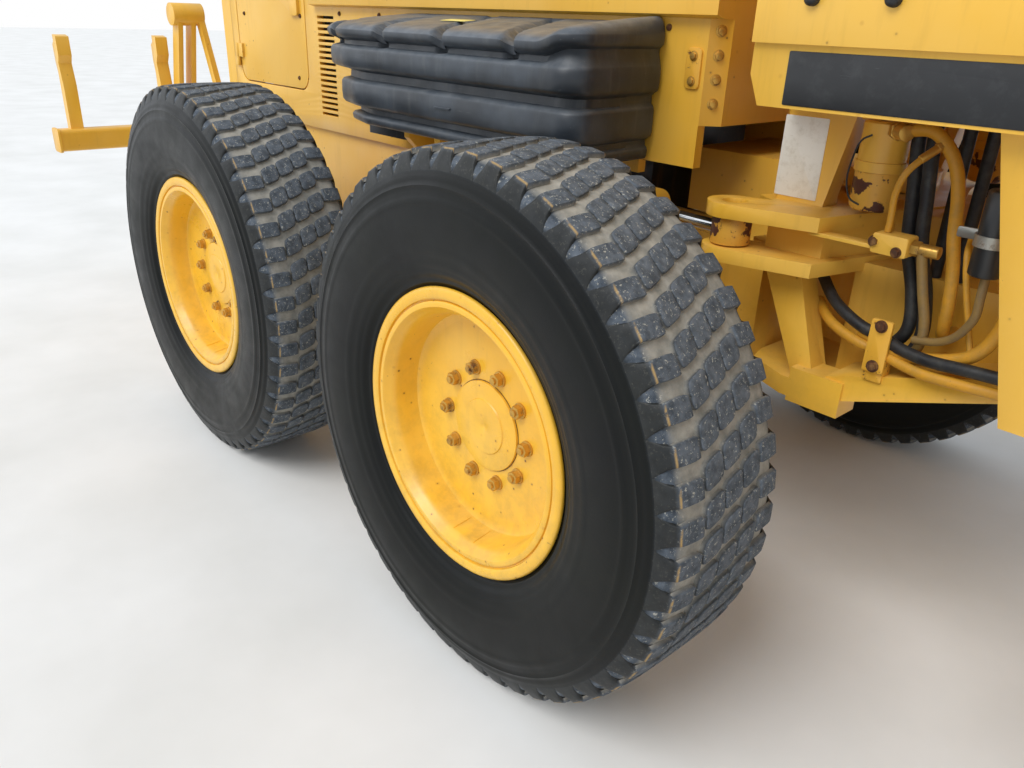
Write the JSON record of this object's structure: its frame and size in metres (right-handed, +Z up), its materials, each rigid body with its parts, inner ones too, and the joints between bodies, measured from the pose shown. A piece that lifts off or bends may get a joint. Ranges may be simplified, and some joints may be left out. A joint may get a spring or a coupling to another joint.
{
  "type": "motor grader",
  "caption": "Articulated motor grader with tandem drive wheels, leaning steered front wheels, turning curved blade under the frame, enclosed cab and rear ripper.",
  "frame": {"origin": "middle of the machine's overall length and width, on the ground", "axes": "+X forward, +Y the machine's left, +Z up from the ground"},
  "size_m": [9.727, 3.658, 3.315],
  "materials": {
    "machine_yellow": "worn gloss with chips and rust specks",
    "tyre_rubber": "dusty matte",
    "tank_plastic": "moulded satin",
    "hose_rubber": "matte",
    "window_glass": "clear tint",
    "interior_trim": "grained",
    "black_paint": "satin",
    "ram_chrome": "hard chrome"
  },
  "bodies": {
    "rear_frame": {"rear_frame": "machine_yellow", "rear_axle": "machine_yellow", "powertrain": "black_paint", "hood": "machine_yellow", "radiator_grille": "machine_yellow", "fuel_tank": "tank_plastic", "exhaust_intake": "black_paint"},
    "engine_door_r": {"engine_door_r": "machine_yellow"},
    "engine_door_l": {"engine_door_l": "machine_yellow"},
    "tandem_r": {"tandem_case_r": "machine_yellow"},
    "tandem_l": {"tandem_case_l": "machine_yellow"},
    "ripper": {"ripper": "machine_yellow"},
    "ripper_barrel": {"ripper_barrel": "machine_yellow"},
    "ripper_rod": {"ripper_rod": "ram_chrome"},
    "front_frame": {"front_frame": "machine_yellow", "cab": "machine_yellow", "cab_glass": "window_glass", "cab_interior": "interior_trim", "steps": "black_paint", "lamps": "black_paint", "hydraulic_unit": "machine_yellow", "hoses": "hose_rubber"},
    "cab_door_r": {"cab_door_r": "machine_yellow"},
    "cab_door_l": {"cab_door_l": "machine_yellow"},
    "drawbar_joint": {"drawbar_joint": "ram_chrome"},
    "drawbar": {"drawbar": "machine_yellow"},
    "circle": {"circle": "machine_yellow"},
    "blade_carrier": {"blade_carrier": "machine_yellow"},
    "moldboard": {"moldboard": "machine_yellow"},
    "front_axle": {"front_axle": "machine_yellow"},
    "steer_rod": {"steer_rod": "ram_chrome"},
    "lean_bar": {"lean_bar": "machine_yellow"},
    "wheel_front_tandem_r": {"tyre_front_tandem_r": "tyre_rubber", "rim_front_tandem_r": "machine_yellow"},
    "wheel_rear_tandem_r": {"tyre_rear_tandem_r": "tyre_rubber", "rim_rear_tandem_r": "machine_yellow"},
    "wheel_steer_r": {"tyre_steer_r": "tyre_rubber", "rim_steer_r": "machine_yellow"},
    "lift_barrel_r": {"lift_barrel_r": "machine_yellow"},
    "lift_rod_r": {"lift_rod_r": "ram_chrome"},
    "artic_barrel_r": {"artic_barrel_r": "machine_yellow"},
    "artic_rod_r": {"artic_rod_r": "ram_chrome"},
    "lean_bracket_r": {"lean_bracket_r": "machine_yellow"},
    "knuckle_r": {"knuckle_r": "machine_yellow"},
    "wheel_front_tandem_l": {"tyre_front_tandem_l": "tyre_rubber", "rim_front_tandem_l": "machine_yellow"},
    "wheel_rear_tandem_l": {"tyre_rear_tandem_l": "tyre_rubber", "rim_rear_tandem_l": "machine_yellow"},
    "wheel_steer_l": {"tyre_steer_l": "tyre_rubber", "rim_steer_l": "machine_yellow"},
    "lift_barrel_l": {"lift_barrel_l": "machine_yellow"},
    "lift_rod_l": {"lift_rod_l": "ram_chrome"},
    "artic_barrel_l": {"artic_barrel_l": "machine_yellow"},
    "artic_rod_l": {"artic_rod_l": "ram_chrome"},
    "lean_bracket_l": {"lean_bracket_l": "machine_yellow"},
    "knuckle_l": {"knuckle_l": "machine_yellow"}
  },
  "joints": [
    {"name": "articulation", "type": "hinge", "parent": "rear_frame", "child": "front_frame", "pos_m": [-0.8585, 0, 0.95], "axis": [0, 0, 1], "range_deg": [-20, 20]},
    {"name": "tandem_r_swing", "type": "hinge", "parent": "rear_frame", "child": "tandem_r", "pos_m": [-2.0085, -0.705, 0.672], "axis": [0, 1, 0], "range_deg": [-15, 15]},
    {"name": "wheel_front_tandem_r_spin", "type": "hinge", "parent": "tandem_r", "child": "wheel_front_tandem_r", "pos_m": [-1.221, -1.05, 0.672], "axis": [0, 1, 0], "continuous": true},
    {"name": "wheel_rear_tandem_r_spin", "type": "hinge", "parent": "tandem_r", "child": "wheel_rear_tandem_r", "pos_m": [-2.796, -1.05, 0.672], "axis": [0, 1, 0], "continuous": true},
    {"name": "engine_door_r_hinge", "type": "hinge", "parent": "rear_frame", "child": "engine_door_r", "pos_m": [-3.8935, -0.46, 1.6], "axis": [0, 0, -1], "range_deg": [0, 100]},
    {"name": "cab_door_r_hinge", "type": "hinge", "parent": "front_frame", "child": "cab_door_r", "pos_m": [-0.6945, -0.713, 2.3], "axis": [0, 0, -1], "range_deg": [0, 95]},
    {"name": "artic_barrel_r_pivot", "type": "hinge", "parent": "rear_frame", "child": "artic_barrel_r", "pos_m": [-1.8085, -0.4, 1.1125], "axis": [0, 0, 1], "range_deg": [-4, 4]},
    {"name": "artic_rod_r_slide", "type": "slide", "parent": "artic_barrel_r", "child": "artic_rod_r", "axis": [0.996, -0.0894, 0], "range_m": [-0.17, 0.17]},
    {"name": "lift_barrel_r_pivot", "type": "hinge", "parent": "front_frame", "child": "lift_barrel_r", "pos_m": [1.4415, -0.5, 1.85], "axis": [1, 0, 0], "range_deg": [-17, 17]},
    {"name": "lift_rod_r_slide", "type": "slide", "parent": "lift_barrel_r", "child": "lift_rod_r", "axis": [0, -0.155, -0.9879], "range_m": [-0.33, 0.53]},
    {"name": "tandem_l_swing", "type": "hinge", "parent": "rear_frame", "child": "tandem_l", "pos_m": [-2.0085, 0.705, 0.672], "axis": [0, 1, 0], "range_deg": [-15, 15]},
    {"name": "wheel_front_tandem_l_spin", "type": "hinge", "parent": "tandem_l", "child": "wheel_front_tandem_l", "pos_m": [-1.221, 1.05, 0.672], "axis": [0, 1, 0], "continuous": true},
    {"name": "wheel_rear_tandem_l_spin", "type": "hinge", "parent": "tandem_l", "child": "wheel_rear_tandem_l", "pos_m": [-2.796, 1.05, 0.672], "axis": [0, 1, 0], "continuous": true},
    {"name": "engine_door_l_hinge", "type": "hinge", "parent": "rear_frame", "child": "engine_door_l", "pos_m": [-3.8935, 0.46, 1.6], "axis": [0, 0, 1], "range_deg": [0, 100]},
    {"name": "cab_door_l_hinge", "type": "hinge", "parent": "front_frame", "child": "cab_door_l", "pos_m": [-0.6945, 0.713, 2.3], "axis": [0, 0, 1], "range_deg": [0, 95]},
    {"name": "artic_barrel_l_pivot", "type": "hinge", "parent": "rear_frame", "child": "artic_barrel_l", "pos_m": [-1.8085, 0.4, 1.1125], "axis": [0, 0, 1], "range_deg": [-4, 4]},
    {"name": "artic_rod_l_slide", "type": "slide", "parent": "artic_barrel_l", "child": "artic_rod_l", "axis": [0.996, 0.0894, 0], "range_m": [-0.17, 0.17]},
    {"name": "lift_barrel_l_pivot", "type": "hinge", "parent": "front_frame", "child": "lift_barrel_l", "pos_m": [1.4415, 0.5, 1.85], "axis": [1, 0, 0], "range_deg": [-17, 17]},
    {"name": "lift_rod_l_slide", "type": "slide", "parent": "lift_barrel_l", "child": "lift_rod_l", "axis": [0, 0.155, -0.9879], "range_m": [-0.33, 0.53]},
    {"name": "ripper_lift", "type": "hinge", "parent": "rear_frame", "child": "ripper", "pos_m": [-4.1685, 0, 0.82], "axis": [0, 1, 0], "range_deg": [-30, 0]},
    {"name": "ripper_barrel_pivot", "type": "hinge", "parent": "rear_frame", "child": "ripper_barrel", "pos_m": [-4.1585, 0, 1.44], "axis": [0, 1, 0], "range_deg": [-11, 0]},
    {"name": "ripper_rod_slide", "type": "slide", "parent": "ripper_barrel", "child": "ripper_rod", "axis": [-0.6839, 0, -0.7295], "range_m": [0, 0.2]},
    {"name": "drawbar_pitch", "type": "hinge", "parent": "front_frame", "child": "drawbar_joint", "pos_m": [3.7415, 0, 0.93], "axis": [0, 1, 0], "range_deg": [-13, 8]},
    {"name": "drawbar_yaw", "type": "hinge", "parent": "drawbar_joint", "child": "drawbar", "pos_m": [3.7415, 0, 0.93], "axis": [0, 0, 1], "range_deg": [-5.5, 5.5]},
    {"name": "circle_turn", "type": "hinge", "parent": "drawbar", "child": "circle", "pos_m": [1.7415, 0, 0.84], "axis": [0, 0, -1], "continuous": true},
    {"name": "blade_tip", "type": "hinge", "parent": "circle", "child": "blade_carrier", "pos_m": [1.4615, 0, 0.23], "axis": [0, 1, 0], "range_deg": [-5, 35]},
    {"name": "blade_shift", "type": "slide", "parent": "blade_carrier", "child": "moldboard", "axis": [0, 1, 0], "range_m": [-0.5, 0.5]},
    {"name": "front_axle_swing", "type": "hinge", "parent": "front_frame", "child": "front_axle", "pos_m": [4.1915, 0, 0.8], "axis": [1, 0, 0], "range_deg": [-16, 16]},
    {"name": "wheel_lean", "type": "hinge", "parent": "front_axle", "child": "lean_bracket_l", "pos_m": [4.1915, 0.72, 0.56], "axis": [1, 0, 0], "range_deg": [-18, 18]},
    {"name": "wheel_lean_r", "type": "hinge", "parent": "front_axle", "child": "lean_bracket_r", "pos_m": [4.1915, -0.72, 0.56], "axis": [1, 0, 0], "range_deg": [-18, 18]},
    {"name": "lean_bar_slide", "type": "slide", "parent": "front_axle", "child": "lean_bar", "axis": [0, 1, 0], "range_m": [-0.13, 0.13]},
    {"name": "steering", "type": "hinge", "parent": "lean_bracket_l", "child": "knuckle_l", "pos_m": [4.1915, 0.83, 0.672], "axis": [0, 0, 1], "range_deg": [-45, 45]},
    {"name": "steering_r", "type": "hinge", "parent": "lean_bracket_r", "child": "knuckle_r", "pos_m": [4.1915, -0.83, 0.672], "axis": [0, 0, 1], "range_deg": [-45, 45]},
    {"name": "steer_rod_slide", "type": "slide", "parent": "front_axle", "child": "steer_rod", "axis": [0, 1, 0], "range_m": [-0.15, 0.15]},
    {"name": "wheel_steer_r_spin", "type": "hinge", "parent": "knuckle_r", "child": "wheel_steer_r", "pos_m": [4.1915, -1.05, 0.672], "axis": [0, 1, 0], "continuous": true},
    {"name": "wheel_steer_l_spin", "type": "hinge", "parent": "knuckle_l", "child": "wheel_steer_l", "pos_m": [4.1915, 1.05, 0.672], "axis": [0, 1, 0], "continuous": true}
  ],
  "couplings": [
    {"joint": "artic_barrel_r_pivot", "follows": "articulation", "ratio": -0.17},
    {"joint": "artic_rod_r_slide", "follows": "articulation", "m_per_rad": 0.467},
    {"joint": "lift_barrel_r_pivot", "follows": "drawbar_yaw", "ratio": -2.85},
    {"joint": "lift_rod_r_slide", "follows": "drawbar_pitch", "m_per_rad": -2.28},
    {"joint": "artic_barrel_l_pivot", "follows": "articulation", "ratio": -0.17},
    {"joint": "artic_rod_l_slide", "follows": "articulation", "m_per_rad": -0.467},
    {"joint": "lift_barrel_l_pivot", "follows": "drawbar_yaw", "ratio": -2.85},
    {"joint": "lift_rod_l_slide", "follows": "drawbar_pitch", "m_per_rad": -2.28},
    {"joint": "ripper_barrel_pivot", "follows": "ripper_lift", "ratio": 0.349},
    {"joint": "ripper_rod_slide", "follows": "ripper_lift", "m_per_rad": -0.374},
    {"joint": "wheel_lean_r", "follows": "wheel_lean", "ratio": 1},
    {"joint": "lean_bar_slide", "follows": "wheel_lean", "m_per_rad": -0.4},
    {"joint": "steering_r", "follows": "steering", "ratio": 1},
    {"joint": "steer_rod_slide", "follows": "steering", "m_per_rad": -0.18}
  ]
}
